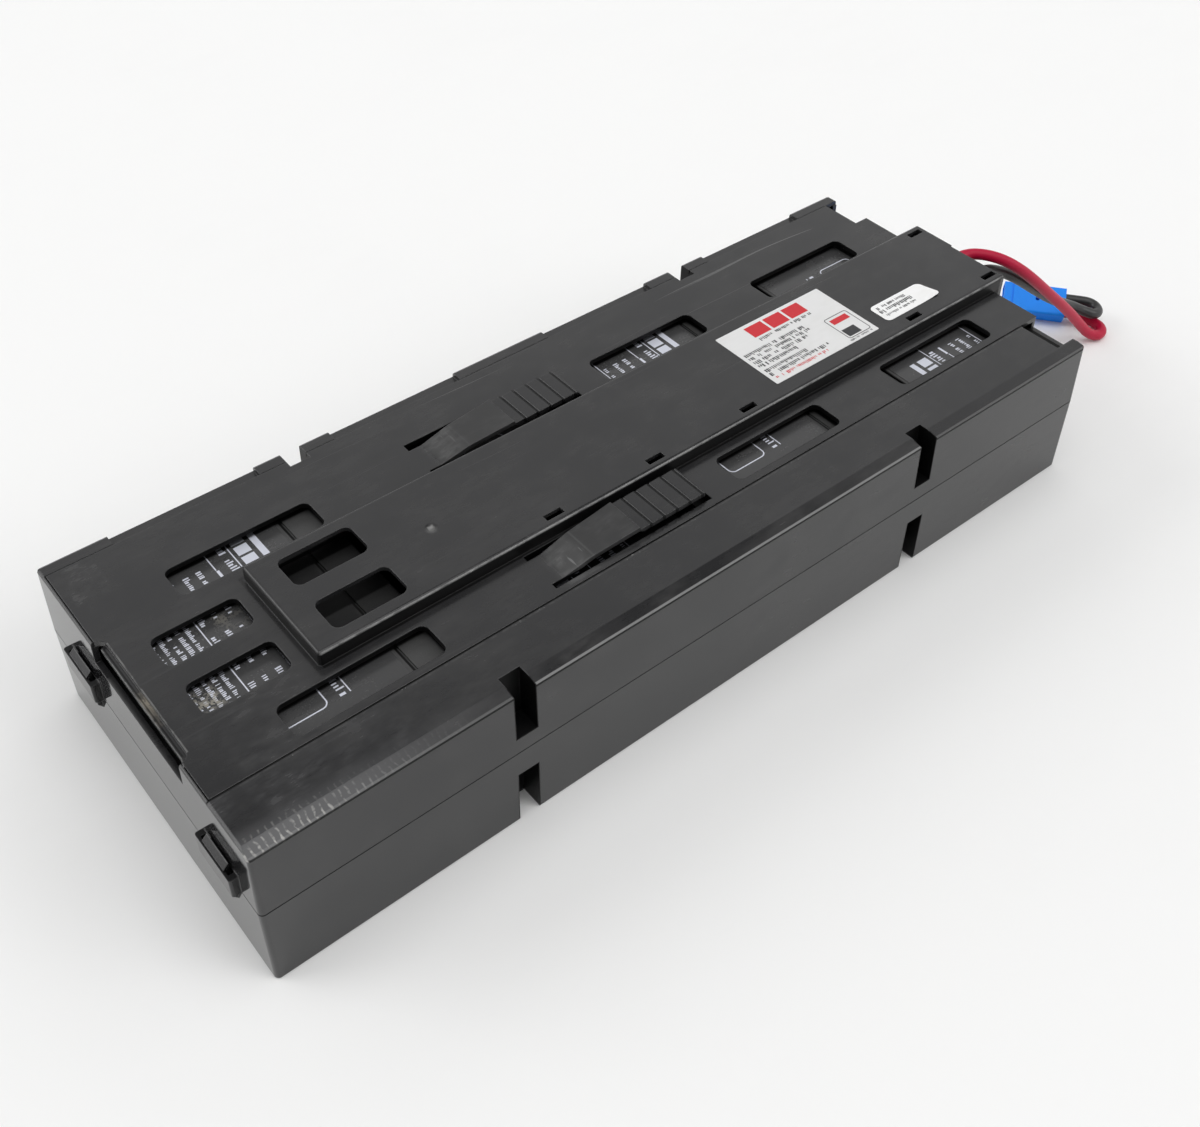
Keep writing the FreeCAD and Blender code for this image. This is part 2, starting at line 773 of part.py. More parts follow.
def free_routes():
    """The leads down to the floor, round a tight loop and into the connector, from the channel's end."""
    red = (
        (0, red_lane, lead_height), (6.5, red_lane, lead_height), (12.5, -7.5, 75.9), (17.5, -15.5, 74.6),
        (25.0, -21.8, 68.6), (34.5, -24.8, 59.6), (47.0, -26.5, 47.5), (62.0, -27.8, 33.5),
        (75.0, -28.3, 20.6), (83.0, -29.2, 11.8), (89.0, -31.2, 5.4), (94.3, -33.4, lead_floor),
        (99.0, -32.9, lead_floor), (102.3, -29.6, lead_floor), (102.8, -25.0, 3.1), (100.6, -20.8, 4.2),
        lead_entry(-1, lead_straight), lead_entry(-1, 0),
    )
    black = (
        (0, black_lane, low_lead_height), (6.5, black_lane, low_lead_height), (18.5, -12.4, 66.6),
        (29.0, -17.6, 60.0), (45.0, -18.8, 47.0), (63.0, -17.8, 33.0), (77.0, -16.9, 23.4),
        (86.0, -17.8, 18.0), (93.4, -20.9, 13.4), (97.8, -24.9, 11.0), (101.9, -25.5, 9.8),
        (105.6, -23.8, 9.2), (107.6, -20.2, 9.4), (107.0, -16.2, 9.9),
        lead_entry(1, lead_straight), lead_entry(1, 0),
    )
    routes = {"red_lead": red, "black_lead": black}
    return {name: [(channel_end + along, y, z) for along, y, z in route] for name, route in routes.items()}


def resting_place():
    """How the connector lies: tilted on its near lower edge, with its wire end turned to the leads."""
    near_edge = Vector(0, connector_width / 2, 0)
    tilt = FreeCAD.Placement(Vector(0, 0, 0), FreeCAD.Rotation(Vector(1, 0, 0), -connector_tilt), near_edge)
    along, y = connector_wire_end
    turn = FreeCAD.Rotation(Vector(0, 0, 1), connector_angle + 180)
    return FreeCAD.Placement(point(channel_end + along, y, 0), turn).multiply(tilt)


def lead_entry(side, out):
    """A place on a pole's line, so far out of where its lead ends, from the channel's end."""
    inside = Vector(lead_end_depth - out, -side * pole_pitch / 2, connector_height / 2)
    place = resting_place().multVec(inside) - point(channel_end, 0, 0)
    return (place.x, place.y, place.z)


def laid_down(shape):
    """A connector piece, modelled from its wire end along X, set where it lies."""
    shape.Placement = resting_place()
    return shape


def cylinder_along(x, y, diameter):
    """A round bore or barrel along X between two X, at mid height of the connector."""
    start = Vector(x[0], y, connector_height / 2)
    return Part.makeCylinder(diameter / 2, x[1] - x[0], start, Vector(1, 0, 0))


def box_about(x, y, width, height):
    """A block along X between two X, centred on one Y and on the connector's mid height."""
    corner = Vector(x[0], y - width / 2, (connector_height - height) / 2)
    return Part.makeBox(x[1] - x[0], width, height, corner)


def connector_housing():
    """Two-pole housing: bevelled block with a grooved rim, two mouths, two lead entries and a pin hole."""
    length = connector_length
    body = box_about((0, length), 0, connector_width, connector_height)
    edges = [edge for edge in body.Edges if edge.BoundBox.XLength > length - 0.01]
    body = body.makeFillet(connector_round, edges)
    groove = (length - connector_rim - connector_groove_width, length - connector_rim)
    depth = 2 * connector_groove_depth
    core = box_about(groove, 0, connector_width - depth, connector_height - depth)
    frame = box_about(groove, 0, connector_width + OVER, connector_height + OVER).cut(core)
    pin_foot = Vector(connector_hole_place, 0, 0)
    cuts = [frame, Part.makeCylinder(connector_hole / 2, connector_height, pin_foot)]
    mouth_start = length - mouth_depth
    barrel_bore = contact_barrel + 2 * contact_clearance
    for side in (-1, 1):
        y = side * pole_pitch / 2
        cuts.append(cylinder_along((0, entry_depth), y, lead_diameter + 2 * entry_clearance))
        cuts.append(cylinder_along((entry_depth, mouth_start), y, barrel_bore))
        cuts.append(box_about((mouth_start, length), y, mouth_width, mouth_height))
    return laid_down(body.cut(cuts).removeSplitter())


def contact(side):
    """One contact: a crimp barrel behind the lead's end and a flat blade in the mouth."""
    y = -side * pole_pitch / 2
    blade_start = connector_length - mouth_depth
    barrel = cylinder_along((contact_start, blade_start + contact_thickness), y, contact_barrel)
    flat = box_about((blade_start, blade_start + contact_length), y, contact_width, contact_thickness)
    return laid_down(barrel.fuse(flat).removeSplitter())


def foam_pad(along):
    """A foam block that fills a gap between a battery's bottom and what is behind it."""
    return block(along, (-pad_width / 2, pad_width / 2), (floor_thickness, floor_thickness + pad_height))


def channel_label(along, across, radius):
    """A thin label on the channel's top."""
    return rounded_prism(along, across, (channel_top, channel_top + label_film), radius)


def batteries():
    """Containers, lids, labels, terminals and receptacles of the four batteries."""
    pieces = {}
    terminals = []
    receptacles = []
    for number, (bottom, facing) in enumerate(battery_row(), 1):
        pieces[f"battery_case_{number}"] = battery_case(bottom, facing)
        pieces[f"battery_lid_{number}"] = battery_lid(bottom, facing)
        pieces[f"battery_label_{number}"] = battery_label(bottom, facing)
        for side in (-1, 1):
            hangs_down = facing < 0 and side < 0
            terminals.append(blade(bottom, facing, side, battery_height - pocket_depth))
            receptacles.append(receptacle(bottom, facing, side, hangs_down))
    pieces["battery_terminals"] = Part.makeCompound(terminals)
    pieces["spade_receptacles"] = Part.makeCompound(receptacles)
    return pieces


def leads():
    """All leads, inside and outside the case."""
    pieces = {}
    for name, route in {**inner_routes(), **free_routes()}.items():
        diameter = jumper_diameter if name.endswith("jumper") else lead_diameter
        pieces[name] = tube(name, route, diameter)
    return pieces


def main():
    """Builds every piece and writes one file for each."""
    row = battery_row()
    pieces = {"lower_tray": lower_tray(), "upper_tray": upper_tray(), "top_cover": top_cover()}
    pieces.update(batteries())
    pieces.update(leads())
    pieces["front_pad"] = foam_pad((wall + draft_top + pad_clearance, front_space))
    pieces["centre_pad"] = foam_pad((row[1][0], row[2][0]))
    pieces["connector_housing"] = connector_housing()
    pieces["red_contact"] = contact(-1)
    pieces["black_contact"] = contact(1)
    pieces["large_label"] = channel_label(large_label_along, large_label_across, large_label_radius)
    pieces["small_label"] = channel_label(small_label_along, small_label_across, small_label_radius)
    os.makedirs("parts", exist_ok=True)
    for name, shape in pieces.items():
        shape.exportStep(f"parts/{name}.step")
        print(f"{name}: valid {shape.isValid()}, solids {len(shape.Solids)}, volume {shape.Volume:.0f}")


main()
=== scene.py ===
"""Looks of a battery cartridge: black moulded case, printed batteries behind windows, labels and free leads.

Metres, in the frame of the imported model: X along the cartridge from the grip end to the lead end, Z up.
Spots on the case are in millimetres: a range behind the front face, one across from the middle, one up from the floor,
and how far the spot's edge fades.
"""
import math

import bpy
import numpy as np
from mathutils import Matrix, Vector


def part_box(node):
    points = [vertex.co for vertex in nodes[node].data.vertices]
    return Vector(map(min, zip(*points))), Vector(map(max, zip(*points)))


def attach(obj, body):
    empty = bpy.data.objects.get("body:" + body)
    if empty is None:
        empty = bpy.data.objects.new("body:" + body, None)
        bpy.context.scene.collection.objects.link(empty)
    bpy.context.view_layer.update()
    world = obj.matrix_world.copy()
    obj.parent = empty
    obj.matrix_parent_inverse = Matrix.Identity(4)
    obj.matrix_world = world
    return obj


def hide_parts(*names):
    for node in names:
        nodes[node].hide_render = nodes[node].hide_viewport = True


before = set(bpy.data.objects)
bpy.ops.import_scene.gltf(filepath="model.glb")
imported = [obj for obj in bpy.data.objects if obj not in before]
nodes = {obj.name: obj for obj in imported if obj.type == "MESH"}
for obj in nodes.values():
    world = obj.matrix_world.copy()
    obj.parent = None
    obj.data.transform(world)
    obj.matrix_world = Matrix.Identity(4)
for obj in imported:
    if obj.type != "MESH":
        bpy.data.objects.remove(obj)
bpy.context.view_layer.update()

mm = 0.001
full_turn = 2 * math.pi

# Photograph: its size and the camera that took it
photo_width = 1200
photo_focal = 1473.3
photo_axis_rise = 120
camera_place = (-300.5 * mm, -354.6 * mm, 481.2 * mm)
camera_aim = (0.4811, 0.5787, -0.6585)
camera_roll = math.radians(0.77)
sensor_width = 36.0

# Studio: each fade runs between two cosines and two levels
studio_windows = ((0.48, -0.66, 0.58), (-0.66, 0.58, 0.48))
window_fade = (math.cos(math.radians(22)), math.cos(math.radians(12)), 0.0, 2.4)
wall_fade = (0.35, 0.95, 0.76, 0.25)
ceiling_fade = (0.73, 0.83, 1.0, 0.12)
light_energy = 1.42
light_angle = math.radians(60)
light_aim = (0.1, 0.15, -1.0)
floor_radius = 4.0
floor_rings = 12
floor_spokes = 96

# Case: its front face and the places that several finishes use
channel_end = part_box("red_lead")[0].x
front_x = channel_end - 438.5 * mm
battery_numbers = range(1, 5)
tray_rounding = 0.45 * mm
cover_rounding = 0.55 * mm
front_face = ((-6, 1.0), (-90, 90), (-5, 80), 0.5)
# Notches and parting lines of the trays, where shade is painted
notch_spans = ((106.0, 116.0), (320.1, 330.1))
notch_sides = ((-82.3, -71.8), (71.8, 82.3))
notch_fade = 0.25
lower_notch_height = (1, 28.2)
upper_notch_height = (48.8, 73.1)
lower_parting = ((-2, 440), (-84, 84), (40.72, 41.2), 0.12)
upper_parting = ((-2, 440), (-84, 84), (40.8, 41.28), 0.12)

# Upper tray: the strip on the right with painted reflection streaks, sheen, highlight and shade along its edge, the
# joint beside it, and the snap loops, where shade is painted too
# Painted reflection streaks on the strip's outer band: pitch, rows across with their strength, and reach along
reflection_streak_pitch = 2.6 * mm
reflection_streak_rows = ((-81.3, -79.4, 1.0), (-78.2, -77.2, 0.5), (-75.6, -74.4, 0.2))
reflection_streak_reach = (0, 200)
strip_height = (71.5, 75)
# Where the painted sheen and streaks fade, grow at the front corner, and lie along the outer band
strip_fading = ((2, 8), (-90, -60), (70, 76), 95)
strip_corner = ((2, 14), (-90, -60), (70, 76), 42)
strip_glow = ((-2, 200), (-82, -78), strip_height, 10)
strip_top = ((-2, 200), (-81.6, -50), strip_height, 0.8)
strip_smudge = ((3, 75), (-76, -56), (73, 74), 6)
# Beside the joint: a painted highlight with dust; in its gap: painted shade
joint_highlight_and_dust_band = ((0, 420), (-55.4, -54.9), (73, 75), 0.4)
joint_gap_shade = ((1, 421), (-54.5, -54.0), (70, 73.7), 0.2)
# Along the strip's outer edge: a painted highlight in three spans with their strength, and a painted shade line under
# it
edge_highlights = (((-2, 116), 0.3), ((116, 320), 0.9), ((320, 440), 0.3))
edge_shade_line = ((-2, 440), (-82.4, -81.5), (71.0, 72.0), 0.2)
# Painted shade on the snap loops at the front
snap_loop_shade = ((-6, -0.6), (-84, 84), (25, 60), 0.3)

# Cover: panel, latches, channel, gate mark and front lip, with painted shade and painted highlights on several of them
side_windows = ((37.5, 100.6), (245.0, 305.2), (344.3, 405.2))
middle_windows = ((17.6, 53.2), (71.0, 103.2))
side_window_band = (33.7, 50.2)
middle_window_band = (5.2, 21.9)
cover_windows = (
    [(along, side_window_band) for along in side_windows]
    + [(along, middle_window_band) for along in middle_windows]
)
# Painted shade on the window walls, below the panel's top
window_wall_shade = ((9, 436), (-53, 76), (60, 73.0), 0.25)
panel_scratches = ((60, 400), (53, 74), (72, 75), 6)
panel_smudge = ((8, 50), (-50, -25), (73, 74), 8)
panel_corner = ((6, 19), (54, 74), (72, 75), 1.5)
latches = ((30, 52, 0.45), (-50, -30, 1.0))
# Latch ribs: painted shade goes in the grooves between them
latch_ribs = (197.5, 204.3, 211.1, 217.9, 224.7)
channel_edge_highlight_and_wear = ((60, 438), (-28.1, -27.5), (79.2, 80.3), 0.3)
# Painted shade on the channel's front wall, front edge and right wall
channel_front_wall_shade = ((58.5, 60.8), (-28.5, 28.5), (73.7, 78.6), 0.6)
channel_front_edge_shade = ((59.3, 60.5), (-28.5, 28.5), (78.9, 80.3), 0.4)
channel_right_wall_shade = ((61, 436), (-29.2, -27.6), (70, 78.6), 0.5)
# Gate mark: a pale disc around it and a painted highlight on its raised side
gate_mark = (front_x + 127.5 * mm, 0, 80 * mm)
gate_reach = (0.6 * mm, 2.6 * mm)
gate_highlight = ((127.2, 128.4), (0.7, 1.1), (79, 81), 1.0)
lip_top = ((3.3, 5.4), (-30, 20), (70.5, 72.4), 0.3)
lip_dust = ((0, 9), (-11, 1), (60, 80), 6)
# Along the lip: a painted shade line and painted highlights on its edges
lip_shade_line = ((3.9, 4.2), (-31, 30), (70.5, 72.5), 0.25)
lip_highlights = (((3.0, 3.4), (71.4, 72.4)), ((5.5, 6.0), (72.9, 73.8)))

# Batteries: joints between case and lid and the deep place under the channel, where shade is painted, and dust behind
# the front windows
lid_joints = (88.0, 137.3, 302.1, 351.4)
under_channel_shade = ((60, 114), (-27, 27), (60, 69), 1.5)
dust_patches = (((19, 25), (-14, -7)), ((45, 52), (13, 20)))

# Free leads: the route's points behind the channel's end, in millimetres, as the solids have them
lead_diameter = 5.6 * mm
lead_sides = 6
lead_steps = 10
red_route = (
    (0, 0, 74.9), (6.5, 0, 74.9), (12.5, -7.5, 75.9), (17.5, -15.5, 74.6), (25, -21.8, 68.6), (34.5, -24.8, 59.6),
    (47, -26.5, 47.5), (62, -27.8, 33.5), (75, -28.3, 20.6), (83, -29.2, 11.8), (89, -31.2, 5.4),
    (94.3, -33.4, 2.9), (99, -32.9, 2.9), (102.3, -29.6, 2.9), (102.8, -25, 3.1), (100.6, -20.8, 4.2),
    (97.1, -16.1, 6.31), (92.07, -9.88, 6.31),
)
black_route = (
    (0, -11, 71.3), (6.5, -11, 71.3), (18.5, -12.4, 66.6), (29, -17.6, 60), (45, -18.8, 47), (63, -17.8, 33),
    (77, -16.9, 23.4), (86, -17.8, 18), (93.4, -20.9, 13.4), (97.8, -24.9, 11), (101.9, -25.5, 9.8),
    (105.6, -23.8, 9.2), (107.6, -20.2, 9.4), (107, -16.2, 9.9), (102.62, -11.63, 10.41), (97.58, -5.41, 10.41),
)
red_length = 165.7 * mm
black_length = 149.5 * mm

# Rows of small ticks: pitch, heights and widths as shares, and the share of ticks that are left out
tick_pitch = 0.45
tick_heights = (0.6, 0.7, 0.85, 1.0)
tick_widths = (0.4, 0.8)
tick_gaps = 0.16
print_lift = 0.03 * mm

# Print on the batteries' films, in millimetres: from and to a distance off the battery's bottom, and across
film_seed = 7
film_start = 3.5
film_bars = (
    (25.6, 26.1, -20, 60), (45.0, 45.5, 43, 56), (45.0, 46.2, 37, 42.6), (53.9, 54.4, -40, 60),
    (56.0, 61.7, 38, 43.2), (56.0, 61.7, 44.4, 49.6), (56.0, 61.7, 50.8, 56), (63.7, 66.5, 38, 57),
)
film_rows = (
    [(place, 2.0, -18, 26) for place in (8.2, 11.7, 15.2, 18.6, 22.1)]
    + [(place, 2.5, *span) for place in (28.3, 33.9, 39.4)
       for span in ((38, 48), (20, 26), (9, 14), (-6, -1), (-17, -13))]
    + [(44.0, 1.2, 11, 24), (44.0, 1.2, -16, -4), (51.7, 3.4, 37, 55), (51.7, 3.4, -40, -27)]
)
film_frame = (25.0, 45.3, -41.0, -20.0)
film_frame_radius = 3.0
film_frame_line = 0.55
frame_steps = 40
frame_turn = 0.01

# Print on the channel's labels, as shares of the label's length and of its width from the far edge
label_seed = 11
header_bars = ((0.24, 0.40, 0.05, 0.25), (0.42, 0.58, 0.05, 0.25), (0.60, 0.76, 0.05, 0.25), (0.78, 0.94, 0.55, 0.64))
header_rows = ((0.92, 0.05, 0.03, 0.55),)
label_rows = (
    (0.31, 0.055, 0.25, 0.77), (0.44, 0.06, 0.03, 0.60), (0.515, 0.06, 0.03, 0.62), (0.59, 0.06, 0.03, 0.55),
    (0.665, 0.06, 0.03, 0.40), (0.765, 0.06, 0.03, 0.44), (0.84, 0.06, 0.03, 0.60), (0.96, 0.03, 0.74, 0.96),
)
label_frame = (0.75, 0.97, 0.50, 0.93)
label_frame_radius = 1.5 * mm
label_frame_line = 0.4 * mm
frame_block = (0.77, 0.89, 0.76, 0.90)
small_rows = ((0.24, 0.16, 0.07, 0.62), (0.47, 0.20, 0.05, 0.68), (0.72, 0.13, 0.08, 0.64))

# Small label's sheet: round corners, a slanting end and a corner that lifts
sheet_steps = (73, 41)
sheet_radius = 2.5 * mm
sheet_slant = 2.6 * mm
sheet_lift = 6.0 * mm
lifted_share = 0.35
paper_thickness = 0.12 * mm


def grey(level):
    """A grey of that level."""
    return (level, level, level)


# Colours that several layers use
# deep_shadow is the near-black colour of painted shade
deep_shadow = grey(0.008)
rubbed_grey = grey(0.06)


def aim_camera():
    """The camera that took the photograph, as a place, a direction and a small roll."""
    data = bpy.data.cameras.new("photo_camera")
    data.sensor_fit = "HORIZONTAL"
    data.sensor_width = sensor_width
    data.lens = photo_focal / photo_width * sensor_width
    data.shift_y = -photo_axis_rise / photo_width
    camera = linked("photo_camera", data)
    turn = Vector(camera_aim).to_track_quat("-Z", "Y").to_matrix() @ Matrix.Rotation(camera_roll, 3, "Z")
    camera.matrix_world = Matrix.Translation(camera_place) @ turn.to_4x4()
    bpy.context.scene.camera = camera


def linked(name, data):
    """A new object of that data, in the scene."""
    made = bpy.data.objects.new(name, data)
    bpy.context.collection.objects.link(made)
    return made


def lead_place(point):
    """A point of a lead's route, in metres."""
    behind, y, z = point
    return [channel_end + behind * mm, y * mm, z * mm]


def free_lead(name, route):
    """A round lead whose middle line is a smooth spline controlled by the route's points."""
    data = bpy.data.curves.new(name, "CURVE")
    data.dimensions = "3D"
    data.bevel_depth = 1.0
    data.bevel_resolution = lead_sides
    data.resolution_u = lead_steps
    data.use_fill_caps = True
    spline = data.splines.new("NURBS")
    spline.points.add(len(route) - 1)
    for control, point in zip(spline.points, route):
        control.co = (*lead_place(point), 1)
        control.radius = lead_diameter / 2
    spline.order_u = 3
    spline.use_endpoint_u = True
    spline.use_smooth = True
    return linked(name, data)


def free_leads():
    """The two leads in the place of their solids, which are hidden."""
    red = free_lead("red_free_lead", red_route)
    black = free_lead("black_free_lead", black_route)
    for lead, node, slot, length, route, ends in (
        (red, "red_lead", "red_insulation", red_length, red_route, ("connector_housing", "red_contact")),
        (black, "black_lead", "black_insulation", black_length, black_route, ("black_contact",)),
    ):
        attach(lead, "root")
        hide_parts(node)
    return red, black


def piece_of(name, points, faces):
    """A mesh of points and faces as a piece that rides the part."""
    mesh = bpy.data.meshes.new(name)
    mesh.from_pydata(points.tolist(), [], faces.tolist())
    piece = linked(name, mesh)
    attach(piece, "root")
    return piece


def tick_row(chance, middle, height, start, end):
    """Plates of one row of small upright marks: even steps, some left out, with chance widths and heights."""
    pitch = tick_pitch * height
    starts = np.arange(start, end - pitch, pitch)
    starts = starts[chance.random(len(starts)) > tick_gaps]
    tall = height * chance.choice(tick_heights, len(starts))
    wide = pitch * chance.uniform(*tick_widths, len(starts))
    foot = np.full_like(starts, middle - height / 2)
    return np.stack((foot, foot + tall, starts, starts + wide), axis=1)


def plate_corners(plates):
    """Corners of flat plates: row i holds the low and high of the first and of the second direction."""
    a0, a1, b0, b1 = np.asarray(plates, float).T
    return np.stack([np.stack(pair, axis=1) for pair in ((a0, b0), (a1, b0), (a1, b1), (a0, b1))], axis=1)


def frame_corners(box, radius, line):
    """Corners of a rounded frame: a middle plus sign(cos, sin) times the half size, plus radius times (cos, sin)."""
    a0, a1, b0, b1 = box
    angles = np.linspace(0, full_turn, frame_steps + 1) + frame_turn
    spin = np.stack((np.cos(angles), np.sin(angles)), axis=1)
    middle = np.array(((a0 + a1) / 2, (b0 + b1) / 2))
    half = np.array(((a1 - a0) / 2, (b1 - b0) / 2)) - radius
    outer = middle + np.sign(spin) * half + radius * spin
    inner = middle + np.sign(spin) * half + (radius - line) * spin
    return np.stack((outer[:-1], outer[1:], inner[1:], inner[:-1]), axis=1)


def print_piece(name, corners, height):
    """Flat print: every four corners are one plate at a height."""
    flat = np.asarray(corners).reshape(-1, 2)
    points = np.column_stack((flat, np.full(len(flat), height)))
    return piece_of(name, points, np.arange(len(points)).reshape(-1, 4))


def battery_prints():
    """The same print on each battery's film, turned half round on the batteries that face the other way."""
    prints = []
    for number in battery_numbers:
        low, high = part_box(f"battery_label_{number}")
        facing = 1 if number % 2 else -1
        foot = low.x if facing > 0 else high.x
        chance = np.random.default_rng(film_seed)
        rows = [tick_row(chance, *row) for row in film_rows]
        corners = np.concatenate((
            plate_corners(np.concatenate(rows + [np.array(film_bars, float)])),
            frame_corners(film_frame, film_frame_radius, film_frame_line),
        ))
        corners = (corners - (film_start, 0)) * mm * facing + (foot, 0)
        prints.append(print_piece(f"battery_print_{number}", corners, high.z + print_lift))
    return prints


def share_corners(corners, low, high):
    """Corners given as shares of a label's length and of its width from the far edge, on that label."""
    along = low.x + corners[..., 0] * (high.x - low.x)
    across = high.y - corners[..., 1] * (high.y - low.y)
    return np.stack((along, across), axis=-1)[:, ::-1]


def share_rows(chance, rows, length, width):
    """Tick rows on a label, each at a share of its width, with a height and a start and end as shares."""
    plates = []
    for middle, height, start, end in rows:
        ticks = tick_row(chance, middle * width, height * width, start * length, end * length)
        plates.append(np.column_stack((ticks[:, 2:] / length, ticks[:, :2] / width)))
    return plate_corners(np.concatenate(plates))


def label_prints():
    """Coloured bars and grey rows on the large label, grey rows on the small one."""
    chance = np.random.default_rng(label_seed)
    low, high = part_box("large_label")
    length, width = high.x - low.x, high.y - low.y
    height = high.z + print_lift
    bars = np.concatenate((plate_corners(header_bars), share_rows(chance, header_rows, length, width)))
    red = print_piece("label_red_print", share_corners(bars, low, high), height)
    rows = share_rows(chance, label_rows, length, width)
    across = (label_frame[0] * length, label_frame[1] * length, label_frame[2] * width, label_frame[3] * width)
    outline = frame_corners(across, label_frame_radius, label_frame_line) / (length, width)
    marks = np.concatenate((rows, outline, plate_corners((frame_block,))))
    dark = print_piece("label_grey_print", share_corners(marks, low, high), height)
    low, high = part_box("small_label")
    rows = share_rows(chance, small_rows, high.x - low.x, high.y - low.y)
    small = print_piece("small_label_print", share_corners(rows, low, high), high.z + print_lift)
    return red, dark, small


def curled_label():
    """The small label as a sheet over shares (a, b): x runs between two ends that are round at the corners, the
    inset there being R - sqrt(R^2 - (R - d)^2) at a distance d under R from the long edges, with the lead end cut
    on a slant, and z rises by the lift times the square of how far a + s (1 - b) passes 1, s the lifted share."""
    low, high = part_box("small_label")
    length, width = high.x - low.x, high.y - low.y
    a, b = np.meshgrid(*(np.linspace(0, 1, steps) for steps in sheet_steps), indexing="ij")
    near_corner = np.clip(sheet_radius - np.minimum(b, 1 - b) * width, 0, sheet_radius)
    inset = sheet_radius - np.sqrt(sheet_radius ** 2 - near_corner ** 2)
    x = low.x + inset + a * (length - 2 * inset - sheet_slant * b)
    y = low.y + width * b
    past = np.clip(a + lifted_share * (1 - b) - 1, 0, None)
    z = (low.z + high.z) / 2 + sheet_lift * past ** 2
    points = np.stack((x, y, z), axis=-1).reshape(-1, 3)
    here = np.arange(points.shape[0]).reshape(a.shape)
    faces = np.stack((here[:-1, :-1], here[1:, :-1], here[1:, 1:], here[:-1, 1:]), axis=-1).reshape(-1, 4)
    sheet = piece_of("small_label_sheet", points, faces)
    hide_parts("small_label")
    thick = sheet.modifiers.new("paper", "SOLIDIFY")
    thick.thickness = paper_thickness
    thick.offset = 0
    return sheet


def place(tree, kind, inputs=None, **settings):
    """A new node of one kind, with settings, and inputs that are values or other nodes' sockets."""
    made = tree.nodes.new(kind)
    for name, value in settings.items():
        setattr(made, name, value)
    for key, value in (inputs or {}).items():
        give(tree, made.inputs[key], value)
    return made


def give(tree, socket, value):
    """Sets an input to a value, or links another node's socket to it."""
    if isinstance(value, bpy.types.NodeSocket):
        tree.links.new(value, socket)
    else:
        socket.default_value = value


def math_of(tree, operation, first, second=0.0, third=0.0):
    """The result of one math node."""
    return place(tree, "ShaderNodeMath", {0: first, 1: second, 2: third}, operation=operation).outputs[0]


def vector_of(tree, operation, first, second=(0, 0, 0), output=0):
    """The result of one vector math node, a vector unless its other output is named."""
    return place(tree, "ShaderNodeVectorMath", {0: first, 1: second}, operation=operation).outputs[output]


def dot_of(tree, first, second):
    """How far one vector points along another."""
    return vector_of(tree, "DOT_PRODUCT", first, second, "Value")


def ramp_of(tree, value, low, high, start=0.0, end=1.0):
    """A value carried smoothly from one range to another."""
    inputs = {"Value": value, "From Min": low, "From Max": high, "To Min": start, "To Max": end}
    return place(tree, "ShaderNodeMapRange", inputs, interpolation_type="SMOOTHSTEP").outputs["Result"]


def noise_of(tree, at, scale, detail=3.0, roughness=0.6):
    """The value of a noise texture."""
    inputs = {"Vector": at, "Scale": scale, "Detail": detail, "Roughness": roughness}
    return place(tree, "ShaderNodeTexNoise", inputs).outputs["Fac"]


def group_of(name, inputs, output):
    """An empty node group with its sockets, each given as a name and a kind, and its input and output nodes."""
    tree = bpy.data.node_groups.new(name, "ShaderNodeTree")
    for label, kind in inputs:
        tree.interface.new_socket(label, in_out="INPUT", socket_type="NodeSocket" + kind)
    tree.interface.new_socket(output, in_out="OUTPUT", socket_type="NodeSocketFloat")
    return tree, tree.nodes.new("NodeGroupInput").outputs, tree.nodes.new("NodeGroupOutput").inputs[output]


def soft_box_group():
    """One inside a box, fading to nothing over the softness outside it."""
    tree, given, result = group_of(
        "soft_box", (("Place", "Vector"), ("Middle", "Vector"), ("Half", "Vector"), ("Softness", "Float")), "Mask")
    away = vector_of(tree, "ABSOLUTE", vector_of(tree, "SUBTRACT", given["Place"], given["Middle"]))
    parts = place(tree, "ShaderNodeSeparateXYZ", {0: vector_of(tree, "SUBTRACT", away, given["Half"])}).outputs
    furthest = math_of(tree, "MAXIMUM", math_of(tree, "MAXIMUM", parts[0], parts[1]), parts[2])
    tree.links.new(ramp_of(tree, furthest, 0.0, given["Softness"], 1.0, 0.0), result)


def handling_marks_group():
    """Broad patches, broken up by finer marks that are wiped along X."""
    tree, given, result = group_of("handling_marks", (("Place", "Vector"), ("Scale", "Float")), "Mask")
    broad = ramp_of(tree, noise_of(tree, given["Place"], given["Scale"], 2.0), 0.38, 0.72)
    wiped = vector_of(tree, "MULTIPLY", given["Place"], (0.35, 1.0, 1.0))
    fine = noise_of(tree, wiped, math_of(tree, "MULTIPLY", given["Scale"], 6.0), 4.0, 0.65)
    tree.links.new(math_of(tree, "MULTIPLY", broad, ramp_of(tree, fine, 0.3, 0.75)), result)


def fine_scratches_group():
    """Thin lines along the direction that is stretched least, swaying a little across."""
    tree, given, result = group_of("fine_scratches", (("Place", "Vector"), ("Stretch", "Vector")), "Mask")
    bent = noise_of(tree, given["Place"], 9.0, 1.0)
    swayed = place(tree, "ShaderNodeCombineXYZ", {"Y": math_of(tree, "MULTIPLY", bent, 0.01)}).outputs[0]
    long = vector_of(tree, "MULTIPLY", vector_of(tree, "ADD", given["Place"], swayed), given["Stretch"])
    tree.links.new(ramp_of(tree, noise_of(tree, long, 1.0, 2.0, 0.5), 0.66, 0.74), result)


